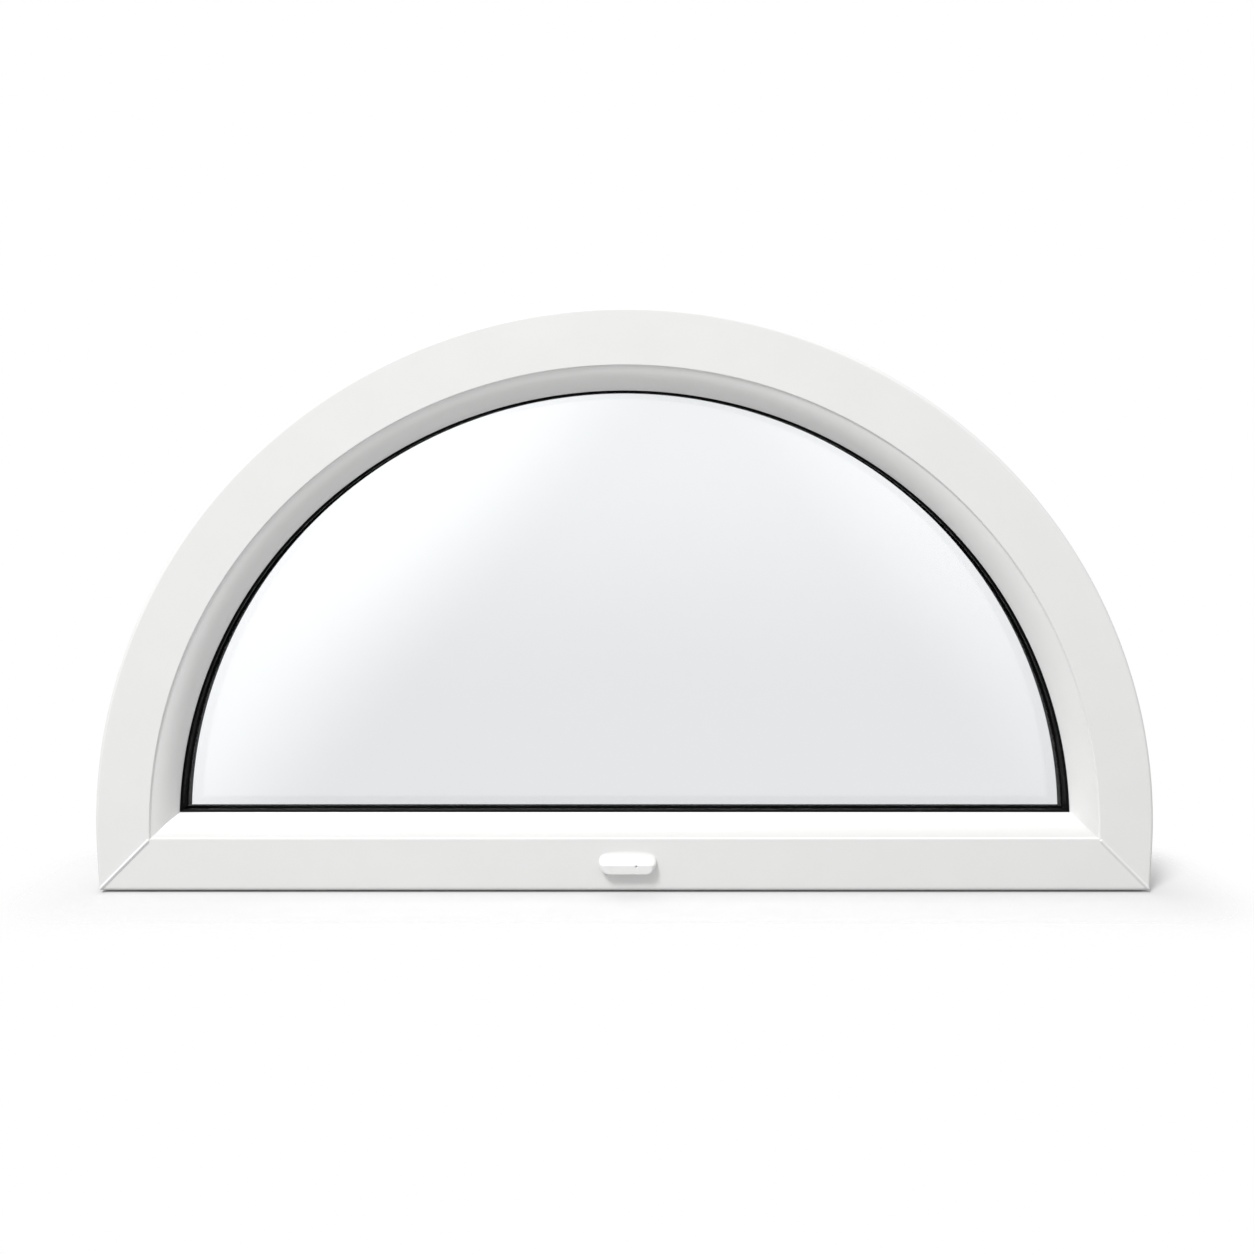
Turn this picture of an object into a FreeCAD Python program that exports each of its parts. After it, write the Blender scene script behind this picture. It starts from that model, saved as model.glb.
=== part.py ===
import FreeCAD, Part
import math
import operator
import os
import Sketcher
from collections import namedtuple
from types import SimpleNamespace

# A half-round fixed window: one bent arch profile and one straight bottom rail, mitred and
# welded at the two lower corners, with a sealed double-glazed unit held by snap-in beads.
# X runs along the width, Y from the outdoor face to the room, Z up from the underside.

# Driving dimensions in millimetres
SIZES = {
    # The whole frame
    "frame_width": 1000.0,
    "spring_height": 40.0,
    "frame_depth": 70.0,
    # Frame profile, measured inward from the outer edge and back from the outdoor face
    "face_width": 51.0,
    "edge_round": 4.0,
    "back_bevel": 2.0,
    "quirk_width": 1.2,
    "quirk_depth": 2.6,
    "ovolo_width": 20.5,
    "ovolo_depth": 18.0,
    "ovolo_radius": 34.0,
    "leg_tip": 1.5,
    "leg_solid": 7.0,
    "rebate_height": 21.0,
    "wall": 2.8,
    "web": 1.8,
    "back_chamber_depth": 14.0,
    # Clip grooves round the outside, for fixing lugs and add-on sills
    "clip_groove_inset": 14.0,
    "clip_groove_width": 6.0,
    "clip_groove_depth": 3.0,
    "clip_groove_undercut": 1.0,
    # Lower corners
    "corner_trim": 3.0,
    "weld_width": 3.6,
    "weld_height": 1.2,
    "weld_bevel": 1.1,
    # Sealed unit
    "pane_thickness": 4.0,
    "pane_gap": 16.0,
    "edge_clearance": 6.0,
    "seal_width": 5.0,
    "spacer_width": 6.5,
    "block_length": 100.0,
    "block_offset": 250.0,
    "location_angle": 35.0,
    "location_span": 8.0,
    # Gaskets
    "front_gasket_thickness": 4.5,
    "back_gasket_thickness": 3.5,
    "gasket_seat": 9.0,
    "gasket_lip": 1.2,
    # Glazing bead on the room side
    "bead_height": 18.0,
    "bead_setback": 0.8,
    "bead_step": 3.0,
    "bead_nose": 2.5,
    "bead_radius": 26.0,
    "bead_groove_inset": 6.0,
    "bead_groove_width": 3.0,
    "bead_groove_depth": 4.0,
    "bead_clearance": 0.2,
    # Drain slot in the bottom rail, and the cap clipped over it
    "drain_offset": 3.0,
    "slot_width": 30.0,
    "slot_height": 5.0,
    "slot_drop": 3.0,
    "cap_rise": 28.5,
    "cap_width": 55.0,
    "cap_height": 20.0,
    "cap_projection": 8.5,
    "cap_top_projection": 2.5,
    "cap_front_height": 10.0,
    "cap_bevel": 1.0,
    "cap_wall": 1.6,
    "prong_width": 4.0,
    "prong_reach": 2.0,
    "prong_clearance": 0.3,
}

doc = FreeCAD.newDocument("ArchedWindow")
sheet = doc.addObject("Spreadsheet::Sheet", "Sizes")
for row, (alias, number) in enumerate(SIZES.items(), start=1):
    sheet.set(f"A{row}", alias)
    sheet.set(f"B{row}", str(number))
    sheet.setAlias(f"B{row}", alias)
doc.recompute()

OPERATIONS = {"+": operator.add, "-": operator.sub, "*": operator.mul, "/": operator.truediv}


class Size:
    # A length together with the sheet expression that gives it

    def __init__(self, value, text):
        self.value = value
        self.text = text

    def __add__(self, other):
        return combine(self, "+", other)

    def __sub__(self, other):
        return combine(self, "-", other)

    def __mul__(self, other):
        return combine(self, "*", other)

    def __truediv__(self, other):
        return combine(self, "/", other)

    def __neg__(self):
        return combine(0, "-", self)


def as_size(term):
    return term if isinstance(term, Size) else Size(float(term), repr(float(term)))


def root(size):
    return Size(math.sqrt(size.value), f"sqrt({size.text})")


def at_least_zero(size):
    return Size(max(0.0, size.value), f"max(0; {size.text})")


def combine(first, sign, second):
    first = as_size(first)
    second = as_size(second)
    value = OPERATIONS[sign](first.value, second.value)
    return Size(value, f"({first.text} {sign} {second.text})")


dim = SimpleNamespace(**{alias: Size(number, f"Sizes.{alias}") for alias, number in SIZES.items()})

# Places worked out from the driving dimensions
zero = as_size(0)
half_width = dim.frame_width / 2
half_depth = dim.frame_depth / 2
sight_edge = dim.face_width + dim.ovolo_width
rebate_floor = sight_edge - dim.rebate_height
rebate_face = dim.ovolo_depth + dim.leg_tip
glass_front = rebate_face + dim.front_gasket_thickness
gap_front = glass_front + dim.pane_thickness
gap_back = gap_front + dim.pane_gap
glass_back = gap_back + dim.pane_thickness
bead_front = glass_back + dim.back_gasket_thickness
bead_top = rebate_floor + dim.bead_height
bead_groove_back = dim.frame_depth - dim.bead_groove_inset
bead_groove_front = bead_groove_back - dim.bead_groove_width
glass_edge = rebate_floor + dim.edge_clearance
spacer_edge = glass_edge + dim.seal_width
spacer_sight = spacer_edge + dim.spacer_width

# A corner of an outline, and how the edge to the next corner bends: straight, or an outward
# arc fixed by its radius or by one coordinate of its centre
Corner = namedtuple("Corner", "x y bend", defaults=[None])
Bend = namedtuple("Bend", "rule size")


def new_body(label):
    body = doc.addObject("PartDesign::Body", label)
    body.Label = label
    return body


def origin_plane(body, role):
    return next(feature for feature in body.Origin.OriginFeatures if feature.Role == role)


def add_sketch(body, role, name, offset=None):
    sketch = body.newObject("Sketcher::SketchObject", f"{body.Name}_{name}")
    sketch.AttachmentSupport = [(origin_plane(body, role), "")]
    sketch.MapMode = "FlatFace"
    if offset is not None:
        sketch.setExpression("AttachmentOffset.Base.z", offset.text)
    return sketch


def arc_centre(start, end, bend, side):
    middle = (start + end) / 2
    chord = end - start
    across = FreeCAD.Vector(-chord.y, chord.x, 0).normalize()
    if bend.rule == "Radius":
        rise = side * math.sqrt(bend.size.value**2 - (chord.Length / 2) ** 2)
    elif bend.rule == "DistanceX":
        rise = (bend.size.value - middle.x) / across.x
    else:
        rise = (bend.size.value - middle.y) / across.y
    return middle + across * rise


def bind(sketch, kind, *place, size):
    index = sketch.addConstraint(Sketcher.Constraint(kind, *place, size.value))
    sketch.setExpression(f"Constraints[{index}]", size.text)


def draw(sketch, corners):
    # A closed outline, with every corner tied to the sheet
    points = [FreeCAD.Vector(corner.x.value, corner.y.value, 0) for corner in corners]
    following = points[1:] + points[:1]
    turn = sum(a.x * b.y - b.x * a.y for a, b in zip(points, following))
    side = 1 if turn > 0 else -1
    edges = []
    for corner, start, end in zip(corners, points, following):
        if corner.bend is None:
            index = sketch.addGeometry(Part.LineSegment(start, end), False)
            edges.append((index, 1, 2))
            continue
        centre = arc_centre(start, end, corner.bend, side)
        first, last = (start, end) if side > 0 else (end, start)
        circle = Part.Circle(centre, FreeCAD.Vector(0, 0, 1), (start - centre).Length)
        angles = [math.atan2(point.y - centre.y, point.x - centre.x) for point in (first, last)]
        index = sketch.addGeometry(Part.ArcOfCircle(circle, *angles), False)
        edges.append((index, 1, 2) if side > 0 else (index, 2, 1))
    for place, (index, start, end) in enumerate(edges):
        after = edges[(place + 1) % len(edges)]
        sketch.addConstraint(Sketcher.Constraint("Coincident", index, end, after[0], after[1]))
        corner = corners[place]
        bind(sketch, "DistanceX", index, start, size=corner.x)
        bind(sketch, "DistanceY", index, start, size=corner.y)
        if corner.bend is None:
            continue
        if corner.bend.rule == "Radius":
            bind(sketch, "Radius", index, size=corner.bend.size)
        else:
            bind(sketch, corner.bend.rule, index, 3, size=corner.bend.size)


def add_feature(body, kind, name, profile, length=None):
    feature = body.newObject(f"PartDesign::{kind}", f"{body.Name}_{name}")
    feature.Profile = profile
    if length is not None:
        feature.setExpression("Length", length.text)
    return feature


def cut_through(body, name, profile):
    cut = add_feature(body, "Pocket", name, profile)
    cut.Type = "ThroughAll"
    cut.SideType = "Symmetric"
    return cut


def mirrored(corners):
    return [Corner(-corner.x, corner.y) for corner in reversed(corners)]


# Mitres: both members meet in one plane, from the lower outer corner to the point where their
# sight edges cross, and the weld flash is trimmed off across its tip
sight_radius = half_width - sight_edge
sight_rise = at_least_zero(sight_edge - dim.spring_height)
sight_corner = root(sight_radius * sight_radius - sight_rise * sight_rise)
mitre_slope = (half_width - sight_corner) / sight_edge
tip_height = dim.corner_trim / (mitre_slope + 1)
clear = dim.frame_depth
reach = sight_edge + clear


def mitre_point(height):
    return Corner(half_width - mitre_slope * height, height)


def mitre_arch(body):
    sketch = add_sketch(body, "XZ_Plane", "mitre")
    right = [
        Corner(half_width + clear, -clear),
        Corner(half_width + clear, dim.corner_trim + clear),
        mitre_point(tip_height),
        mitre_point(reach),
    ]
    draw(sketch, right + mirrored(right))
    cut_through(body, "mitre_cut", sketch)


def mitre_rail(body):
    sketch = add_sketch(body, "XZ_Plane", "mitre")
    right = [
        mitre_point(tip_height),
        Corner(half_width - dim.corner_trim - clear, -clear),
        Corner(half_width + clear, -clear),
        Corner(half_width + clear, reach),
        mitre_point(reach),
    ]
    draw(sketch, right)
    draw(sketch, mirrored(right))
    cut_through(body, "mitre_cut", sketch)


def arched_member(label, outlines):
    # The section swept round the arch and down its two short legs
    body = new_body(label)
    section = add_sketch(body, "XY_Plane", "section", dim.spring_height)
    for outline in outlines:
        draw(section, [Corner(half_width - c.x, c.y - half_depth, c.bend) for c in outline])
    bow = add_feature(body, "Revolution", "bow", section)
    bow.ReferenceAxis = (section, ["V_Axis"])
    bow.Angle = 180
    bow.Reversed = True
    leg = add_feature(body, "Pad", "leg", section, dim.spring_height)
    leg.Reversed = True
    other_leg = body.newObject("PartDesign::Mirrored", f"{label}_other_leg")
    other_leg.Originals = [leg]
    other_leg.MirrorPlane = (origin_plane(body, "YZ_Plane"), [""])
    body.Tip = other_leg
    mitre_arch(body)
    return body


def straight_member(label, outlines):
    # The same section run straight along the bottom
    body = new_body(label)
    section = add_sketch(body, "YZ_Plane", "section")
    for outline in outlines:
        draw(section, [Corner(c.y - half_depth, c.x, c.bend) for c in outline])
    run = add_feature(body, "Pad", "run", section, dim.frame_width)
    run.SideType = "Symmetric"
    mitre_rail(body)
    return body


# Sections: x is the distance in from the outer edge, y the depth behind the outdoor face


def box_outline(near, far, front, back):
    return [Corner(near, front), Corner(far, front), Corner(far, back), Corner(near, back)]


def clip_groove(front, back):
    return [
        Corner(zero, back),
        Corner(dim.clip_groove_depth, back + dim.clip_groove_undercut),
        Corner(dim.clip_groove_depth, front - dim.clip_groove_undercut),
        Corner(zero, front),
    ]


def frame_section():
    front_groove_back = dim.clip_groove_inset + dim.clip_groove_width
    back_groove_back = dim.frame_depth - dim.clip_groove_inset
    back_groove_front = back_groove_back - dim.clip_groove_width
    groove_floor = rebate_floor - dim.bead_groove_depth
    outside = [
        Corner(dim.edge_round, zero),
        Corner(dim.face_width, zero),
        Corner(dim.face_width + dim.quirk_width, dim.quirk_depth, Bend("Radius", dim.ovolo_radius)),
        Corner(sight_edge, dim.ovolo_depth),
        Corner(sight_edge, rebate_face),
        Corner(rebate_floor, rebate_face),
        Corner(rebate_floor, bead_groove_front),
        Corner(groove_floor, bead_groove_front),
        Corner(groove_floor, bead_groove_back),
        Corner(rebate_floor, bead_groove_back),
        Corner(rebate_floor, dim.frame_depth),
        Corner(dim.back_bevel, dim.frame_depth),
        Corner(zero, dim.frame_depth - dim.back_bevel),
        *clip_groove(back_groove_front, back_groove_back),
        *clip_groove(dim.clip_groove_inset, front_groove_back),
        Corner(zero, dim.edge_round, Bend("Radius", dim.edge_round)),
    ]
    chamber_outer = dim.clip_groove_depth + dim.wall
    chamber_inner = rebate_floor - dim.wall
    back_chamber_back = dim.frame_depth - dim.wall
    back_chamber_front = back_chamber_back - dim.back_chamber_depth
    front_chamber_back = rebate_face - dim.wall
    front_chamber = [
        Corner(chamber_outer, dim.wall),
        Corner(dim.face_width - dim.wall, dim.wall),
        Corner(sight_edge - dim.leg_solid, front_chamber_back),
        Corner(chamber_outer, front_chamber_back),
    ]
    main_chamber = box_outline(
        chamber_outer, chamber_inner, rebate_face, back_chamber_front - dim.web
    )
    back_chamber = box_outline(
        chamber_outer, groove_floor - dim.wall, back_chamber_front, back_chamber_back
    )
    return [outside, front_chamber, main_chamber, back_chamber]


def front_gasket_section():
    # Packs the outer pane off the rebate, with a lip that wraps the tip of the ovolo leg
    lip_edge = sight_edge + dim.gasket_lip
    return [
        [
            Corner(sight_edge - dim.gasket_seat, rebate_face),
            Corner(sight_edge, rebate_face),
            Corner(sight_edge, dim.ovolo_depth),
            Corner(lip_edge, dim.ovolo_depth + dim.gasket_lip),
            Corner(lip_edge, glass_front),
            Corner(sight_edge - dim.gasket_seat, glass_front),
        ]
    ]


def back_gasket_section():
    lip_edge = bead_top + dim.gasket_lip
    return [
        [
            Corner(bead_top - dim.gasket_seat, glass_back),
            Corner(lip_edge, glass_back),
            Corner(lip_edge, bead_front),
            Corner(bead_top - dim.gasket_seat, bead_front),
        ]
    ]


def bead_section():
    # Sits on the rebate floor with its tongue snapped into the groove
    tongue_front = bead_groove_front + dim.bead_clearance
    tongue_back = bead_groove_back - dim.bead_clearance
    tongue_end = rebate_floor - dim.bead_groove_depth + dim.bead_clearance
    bead_back = dim.frame_depth - dim.bead_setback
    return [
        [
            Corner(tongue_end, tongue_front),
            Corner(rebate_floor, tongue_front),
            Corner(bead_top - dim.gasket_seat, bead_front),
            Corner(bead_top, bead_front),
            Corner(bead_top, bead_front + dim.bead_nose, Bend("Radius", dim.bead_radius)),
            Corner(rebate_floor + dim.bead_step, bead_back),
            Corner(rebate_floor, bead_back),
            Corner(rebate_floor, tongue_back),
            Corner(tongue_end, tongue_back),
        ]
    ]


# Plates of the sealed unit: half-round outlines at a given inset from the outer edge


def facing_sketch(body, name, depth):
    # A sketch in the plane at this depth behind the outdoor face, looking at that face
    return add_sketch(body, "XZ_Plane", name, half_depth - depth)


def arch_outline(inset):
    radius = half_width - inset
    return [
        Corner(-radius, zero),
        Corner(radius, zero),
        Corner(radius, dim.spring_height, Bend("DistanceY", dim.spring_height)),
        Corner(-radius, dim.spring_height),
    ]


def arch_plate(label, inset, front, back):
    body = new_body(label)
    outline = facing_sketch(body, "outline", back)
    draw(outline, arch_outline(inset))
    add_feature(body, "Pad", "sheet", outline, back - front)
    return body


def cut_below(body, height):
    sketch = add_sketch(body, "XZ_Plane", "below")
    draw(sketch, box_outline(-half_width, half_width, -clear, height))
    cut_through(body, "bottom_cut", sketch)


def pane(label, front):
    body = arch_plate(label, glass_edge, front, front + dim.pane_thickness)
    cut_below(body, glass_edge)
    return body


def sealed_rim(label, edge, sight):
    # A band between the panes, closed along the bottom
    body = arch_plate(label, edge, gap_front, gap_back)
    opening = add_sketch(body, "XZ_Plane", "opening")
    draw(opening, arch_outline(sight))
    cut_through(body, "opening_cut", opening)
    cut_below(body, edge)
    bottom = facing_sketch(body, "bottom", gap_back)
    half_run = half_width - (edge + sight) / 2
    draw(bottom, box_outline(-half_run, half_run, edge, sight))
    add_feature(body, "Pad", "bottom_run", bottom, dim.pane_gap)
    return body


def setting_block(label, side):
    block = doc.addObject("Part::Box", label)
    block.Label = label
    middle = dim.block_offset * side
    block.setExpression("Length", dim.block_length.text)
    block.setExpression("Width", (glass_back - glass_front).text)
    block.setExpression("Height", dim.edge_clearance.text)
    block.setExpression("Placement.Base.x", (middle - dim.block_length / 2).text)
    block.setExpression("Placement.Base.y", (glass_front - half_depth).text)
    block.setExpression("Placement.Base.z", rebate_floor.text)
    return block


def location_block(label, side):
    # Holds the unit off the arch, part of the way down from the crown
    body = new_body(label)
    section = add_sketch(body, "XY_Plane", "section")
    near = half_width - glass_edge
    far = half_width - rebate_floor
    draw(section, box_outline(near, far, glass_front - half_depth, glass_back - half_depth))
    run = add_feature(body, "Revolution", "run", section)
    run.ReferenceAxis = (section, ["V_Axis"])
    run.Midplane = True
    run.setExpression("Angle", dim.location_span.text)
    quarter_turn = as_size(90)
    up_from_right = FreeCAD.Rotation(FreeCAD.Vector(0, -1, 0), quarter_turn.value)
    body.Placement = FreeCAD.Placement(FreeCAD.Vector(), up_from_right)
    body.setExpression("Placement.Rotation.Angle", (quarter_turn - dim.location_angle * side).text)
    body.setExpression("Placement.Base.z", dim.spring_height.text)
    return body


def weld_bead(label, side, depth, face_edge, outward):
    # A bevelled ridge along the mitre, from the rounded tip to the inner edge of the face
    body = new_body(label)
    ridge = facing_sketch(body, "ridge", depth)
    step = dim.weld_width / (2 * math.sqrt(2))
    near = mitre_point(dim.edge_round)
    far = mitre_point(face_edge - step)
    draw(
        ridge,
        [
            Corner((near.x + step) * side, near.y + step),
            Corner((far.x + step) * side, far.y + step),
            Corner((far.x - step) * side, far.y - step),
            Corner((near.x - step) * side, near.y - step),
        ],
    )
    pad = add_feature(body, "Pad", "ridge_pad", ridge, dim.weld_height)
    pad.Reversed = not outward
    doc.recompute()
    crown = body.newObject("PartDesign::Chamfer", f"{label}_crown")
    crown.Base = (pad, edges_off_face(pad.Shape, depth.value - half_depth.value))
    crown.setExpression("Size", dim.weld_bevel.text)
    return body


def edges_off_face(shape, level):
    # The edges that lie wholly clear of the frame face at this level
    clearance = 0.01
    return [
        f"Edge{number}"
        for number, edge in enumerate(shape.Edges, start=1)
        if all(abs(vertex.Y - level) > clearance for vertex in edge.Vertexes)
    ]


# Drain: a slot through the front wall of the rail into its front chamber, and a hooded cap
# clipped into the slot
cap_bottom = dim.cap_rise - dim.cap_height / 2
cap_top = dim.cap_rise + dim.cap_height / 2
slot_middle = dim.cap_rise - dim.slot_drop
slot_bottom = slot_middle - dim.slot_height / 2
slot_top = slot_middle + dim.slot_height / 2


def drain_slot(rail):
    sketch = facing_sketch(rail, "drain_slot", zero)
    left = dim.drain_offset - dim.slot_width / 2
    right = dim.drain_offset + dim.slot_width / 2
    draw(sketch, box_outline(left, right, slot_bottom, slot_top))
    add_feature(rail, "Pocket", "drain_cut", sketch, rebate_face / 2)


def drain_cap(label):
    body = new_body(label)
    outline = facing_sketch(body, "outline", zero)
    half_straight = (dim.cap_width - dim.cap_height) / 2
    left = dim.drain_offset - half_straight
    right = dim.drain_offset + half_straight
    draw(
        outline,
        [
            Corner(left, cap_bottom),
            Corner(right, cap_bottom, Bend("DistanceX", right)),
            Corner(right, cap_top),
            Corner(left, cap_top, Bend("DistanceX", left)),
        ],
    )
    add_feature(body, "Pad", "hood", outline, dim.cap_projection)

    # The hood slopes back from a low upright front to the top
    front = -half_depth - dim.cap_projection
    shoulder = cap_bottom + dim.cap_front_height
    top_front = -half_depth - dim.cap_top_projection
    slope = add_sketch(body, "YZ_Plane", "slope")
    draw(
        slope,
        [
            Corner(front, shoulder),
            Corner(top_front, cap_top),
            Corner(top_front, cap_top + clear),
            Corner(front - clear, cap_top + clear),
            Corner(front - clear, shoulder),
        ],
    )
    sloped = cut_through(body, "slope_cut", slope)
    doc.recompute()
    softened = body.newObject("PartDesign::Chamfer", f"{label}_softened")
    softened.Base = (sloped, edges_off_face(sloped.Shape, -half_depth.value))
    softened.setExpression("Size", dim.cap_bevel.text)

    # Open underneath and behind, so that water runs out of the slot
    outlet = add_sketch(body, "YZ_Plane", "outlet", dim.drain_offset)
    inner_front = front + dim.cap_wall
    draw(
        outlet,
        [
            Corner(-half_depth + clear, cap_bottom - clear),
            Corner(-half_depth + clear, slot_top),
            Corner(-half_depth, slot_top),
            Corner(inner_front, shoulder - dim.cap_wall),
            Corner(inner_front, cap_bottom - clear),
        ],
    )
    hollow = add_feature(body, "Pocket", "outlet_cut", outlet, half_straight * 2)
    hollow.SideType = "Symmetric"

    # Two prongs run back from the front of the hood and grip the ends of the slot
    hollow_depth = dim.cap_projection - dim.cap_wall
    prongs = facing_sketch(body, "prongs", -hollow_depth)
    outer = dim.slot_width / 2 - dim.prong_clearance
    inner = outer - dim.prong_width
    low = slot_bottom + dim.prong_clearance
    high = slot_top - dim.prong_clearance
    draw(prongs, box_outline(dim.drain_offset + inner, dim.drain_offset + outer, low, high))
    draw(prongs, box_outline(dim.drain_offset - outer, dim.drain_offset - inner, low, high))
    grip = add_feature(body, "Pad", "grip", prongs, hollow_depth + dim.wall + dim.prong_reach)
    grip.Reversed = True
    return body


arch = arched_member("arch_frame", frame_section())
rail = straight_member("bottom_rail", frame_section())
drain_slot(rail)
subparts = [
    arch,
    rail,
    arched_member("front_gasket_arch", front_gasket_section()),
    straight_member("front_gasket_bottom", front_gasket_section()),
    arched_member("back_gasket_arch", back_gasket_section()),
    straight_member("back_gasket_bottom", back_gasket_section()),
    arched_member("glazing_bead_arch", bead_section()),
    straight_member("glazing_bead_bottom", bead_section()),
    pane("outer_pane", glass_front),
    pane("inner_pane", gap_back),
    sealed_rim("edge_seal", glass_edge, spacer_edge),
    sealed_rim("spacer_bar", spacer_edge, spacer_sight),
    setting_block("setting_block_left", -1),
    setting_block("setting_block_right", 1),
    location_block("location_block_left", -1),
    location_block("location_block_right", 1),
    weld_bead("weld_bead_front_left", -1, zero, dim.face_width, True),
    weld_bead("weld_bead_front_right", 1, zero, dim.face_width, True),
    weld_bead("weld_bead_back_left", -1, dim.frame_depth, rebate_floor, False),
    weld_bead("weld_bead_back_right", 1, dim.frame_depth, rebate_floor, False),
    drain_cap("drain_cap"),
]

doc.recompute()
for item in doc.Objects:
    if "Invalid" in item.State or "Error" in item.State:
        raise RuntimeError(f"{item.Name} is not built: {item.State}")
for subpart in subparts:
    if subpart.Shape.isNull() or not subpart.Shape.isValid():
        raise RuntimeError(f"{subpart.Label} has no valid shape")
    if len(subpart.Shape.Solids) != 1:
        raise RuntimeError(f"{subpart.Label} has {len(subpart.Shape.Solids)} solids")

os.makedirs("parts", exist_ok=True)
for subpart in subparts:
    subpart.Shape.exportStep(f"parts/{subpart.Label}.step")
    print(f"{subpart.Label}: {subpart.Shape.Volume / 1000:.1f} cm3")
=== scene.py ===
import math

import bpy
import numpy as np
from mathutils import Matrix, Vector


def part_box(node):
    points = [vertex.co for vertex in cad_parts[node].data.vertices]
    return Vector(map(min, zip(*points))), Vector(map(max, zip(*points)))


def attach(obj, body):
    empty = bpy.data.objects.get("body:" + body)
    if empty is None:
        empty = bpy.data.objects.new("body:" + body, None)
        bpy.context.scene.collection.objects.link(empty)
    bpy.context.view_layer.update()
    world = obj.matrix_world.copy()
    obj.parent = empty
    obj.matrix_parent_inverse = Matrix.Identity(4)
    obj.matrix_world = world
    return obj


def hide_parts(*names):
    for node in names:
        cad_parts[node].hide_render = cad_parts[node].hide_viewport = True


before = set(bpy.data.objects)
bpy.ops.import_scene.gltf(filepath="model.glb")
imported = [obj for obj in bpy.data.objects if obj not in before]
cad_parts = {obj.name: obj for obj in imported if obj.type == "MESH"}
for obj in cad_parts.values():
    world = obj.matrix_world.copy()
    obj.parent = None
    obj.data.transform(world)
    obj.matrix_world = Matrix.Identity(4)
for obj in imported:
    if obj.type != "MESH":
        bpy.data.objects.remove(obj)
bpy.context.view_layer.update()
print("frame loaded:", len(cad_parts), "nodes")

mm = 0.001  # lengths below are in millimetres, meshes in metres

# overall places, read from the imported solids
archLow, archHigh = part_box("arch_frame")
halfWidth = archHigh.x / mm
springHeight = archHigh.z / mm - halfWidth
frameFront = archLow.y / mm
frameDepth = (archHigh.y - archLow.y) / mm
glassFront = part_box("outer_pane")[0].y / mm - frameFront  # depths behind the outdoor face
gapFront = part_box("outer_pane")[1].y / mm - frameFront
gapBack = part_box("inner_pane")[0].y / mm - frameFront
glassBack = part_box("inner_pane")[1].y / mm - frameFront


# sections
# a section is a closed ring of corners (inset from the outer edge, depth behind the front, radius)

frameProfile = {
    "faceWidth": 51.0,
    "edgeRound": 4.0,
    "quirkWidth": 1.2, "quirkDepth": 1.7,  # drawn shallower than the solid's, for the thin line it shows
    "ovoloWidth": 20.5, "ovoloDepth": 18.0, "ovoloRadius": 34.0,
    "legTip": 1.5,
    "rebateHeight": 21.0,
    "backRound": 2.5,
    "clipInset": 14.0, "clipWidth": 6.0, "clipDepth": 3.0, "clipUndercut": 1.0,
    "grooveInset": 6.0, "grooveWidth": 3.0, "grooveDepth": 4.0,
    "softEdge": 0.4, "quirkRound": 0.2,  # an extruded corner is never knife sharp
    "cornerTrim": 3.0,  # weld flash trimmed across the tip of each lower corner
}
sightEdge = frameProfile["faceWidth"] + frameProfile["ovoloWidth"]
rebateFloor = sightEdge - frameProfile["rebateHeight"]
rebateFace = frameProfile["ovoloDepth"] + frameProfile["legTip"]
grooveBack = frameDepth - frameProfile["grooveInset"]
grooveFront = grooveBack - frameProfile["grooveWidth"]
grooveFloor = rebateFloor - frameProfile["grooveDepth"]


def bulge(start, end, radius, spare=0.6):
    # a long outward arc as one rounded corner: the corner stands where the tangents of the arc's ends
    # cross, and its radius leaves a little straight at both ends for the small corner roundings
    chord = np.subtract(end, start)
    half = np.hypot(*chord) / 2
    spread = math.asin(half / radius)
    outward = np.array([chord[1], -chord[0]]) / (2 * half)
    corner = np.add(start, end) / 2 + outward * half * math.tan(spread)
    return (*corner, (half / math.cos(spread) - spare) / math.tan(spread))


def roundedRing(corners, steps=8):
    # every corner turns into an arc: the outward normal swings evenly from one edge's to the next,
    # and a point is the arc's centre plus the radius along that normal (minus it in a hollow corner)
    corners = np.array(corners, float)
    spot, radius = corners[:, :2], corners[:, 2]
    leaving = np.roll(spot, -1, 0) - spot
    leaving /= np.linalg.norm(leaving, axis=1, keepdims=True)
    arriving = np.roll(leaving, 1, 0)
    angleIn = np.arctan2(-arriving[:, 0], arriving[:, 1])
    angleOut = np.arctan2(-leaving[:, 0], leaving[:, 1])
    turn = (angleOut - angleIn + math.pi) % (2 * math.pi) - math.pi
    side = np.sign(turn)
    tangent = radius * np.tan(np.abs(turn) / 2)
    firstNormal = np.stack([np.cos(angleIn), np.sin(angleIn)], 1)
    centre = spot - arriving * tangent[:, None] - firstNormal * (side * radius)[:, None]
    angle = angleIn[:, None] + turn[:, None] * np.linspace(0, 1, steps)
    normal = np.stack([np.cos(angle), np.sin(angle)], 2)
    ring = centre[:, None] + normal * (side * radius)[:, None, None]
    return ring.reshape(-1, 2), normal.reshape(-1, 2)


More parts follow.
